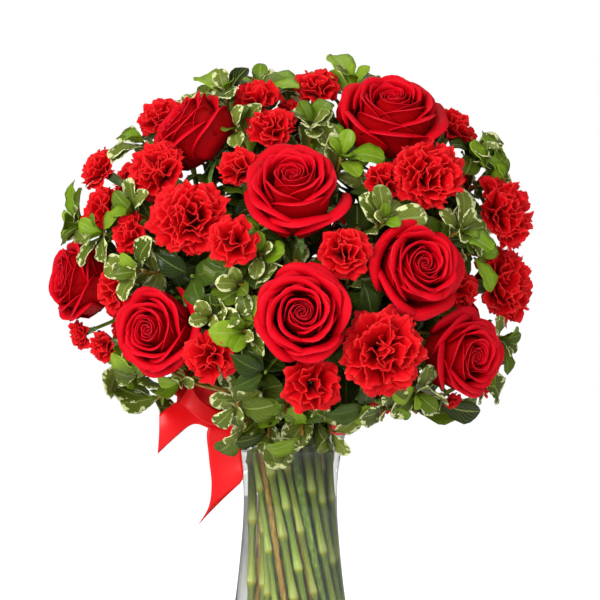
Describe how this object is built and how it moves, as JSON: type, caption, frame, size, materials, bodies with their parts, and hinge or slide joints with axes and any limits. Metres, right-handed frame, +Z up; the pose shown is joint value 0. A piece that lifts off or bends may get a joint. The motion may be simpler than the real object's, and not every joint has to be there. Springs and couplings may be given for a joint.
{
  "type": "roses and carnations in a vase",
  "caption": "Domed bouquet of red roses, carnations and variegated leaves standing in a waisted clear glass vase of water with a satin ribbon.",
  "frame": {"origin": "centre of the vase's underside, on the surface it stands on", "axes": "+Z up the vase, -Y towards the front of the bouquet, +X to the right seen from the front"},
  "size_m": [0.383, 0.3699, 0.4916],
  "materials": {
    "glass": "clear polished glass",
    "water": "still clear water",
    "satin": "satin ribbon",
    "rose_petal": "velvety rose petal",
    "carnation_petal": "matte ruffled petal",
    "spray_carnation": "matte ruffled petal on pale green shoots",
    "rose_stem": "smooth green stem",
    "carnation_stem": "waxy pale green stem",
    "leaf": "semi-gloss cream-edged leaf"
  },
  "bodies": {
    "root": {"vase": "glass", "water": "water", "ribbon": "satin", "rose_1_bloom": "rose_petal", "rose_1_stem": "rose_stem", "rose_2_bloom": "rose_petal", "rose_2_stem": "rose_stem", "rose_3_bloom": "rose_petal", "rose_3_stem": "rose_stem", "rose_4_bloom": "rose_petal", "rose_4_stem": "rose_stem", "rose_5_bloom": "rose_petal", "rose_5_stem": "rose_stem", "rose_6_bloom": "rose_petal", "rose_6_stem": "rose_stem", "rose_7_bloom": "rose_petal", "rose_7_stem": "rose_stem", "rose_8_bloom": "rose_petal", "rose_8_stem": "rose_stem", "rose_9_bloom": "rose_petal", "rose_9_stem": "rose_stem", "rose_10_bloom": "rose_petal", "rose_10_stem": "rose_stem", "rose_11_bloom": "rose_petal", "rose_11_stem": "rose_stem", "carnation_1_bloom": "carnation_petal", "carnation_1_stem": "carnation_stem", "carnation_2_bloom": "carnation_petal", "carnation_2_stem": "carnation_stem", "carnation_3_bloom": "carnation_petal", "carnation_3_stem": "carnation_stem", "carnation_4_bloom": "carnation_petal", "carnation_4_stem": "carnation_stem", "carnation_5_bloom": "carnation_petal", "carnation_5_stem": "carnation_stem", "carnation_6_bloom": "carnation_petal", "carnation_6_stem": "carnation_stem", "carnation_7_bloom": "carnation_petal", "carnation_7_stem": "carnation_stem", "carnation_8_bloom": "carnation_petal", "carnation_8_stem": "carnation_stem", "mini_spray_1": "spray_carnation", "mini_spray_2": "spray_carnation", "mini_spray_3": "spray_carnation", "mini_spray_4": "spray_carnation", "mini_spray_5": "spray_carnation", "mini_spray_6": "spray_carnation", "mini_spray_7": "spray_carnation", "mini_spray_8": "spray_carnation", "mini_spray_9": "spray_carnation", "leaf_sprig_1": "leaf", "leaf_sprig_2": "leaf", "leaf_sprig_3": "leaf", "leaf_sprig_4": "leaf", "leaf_sprig_5": "leaf", "leaf_sprig_6": "leaf", "leaf_sprig_7": "leaf", "leaf_sprig_8": "leaf", "leaf_sprig_9": "leaf", "leaf_sprig_10": "leaf"}
  },
  "joints": []
}
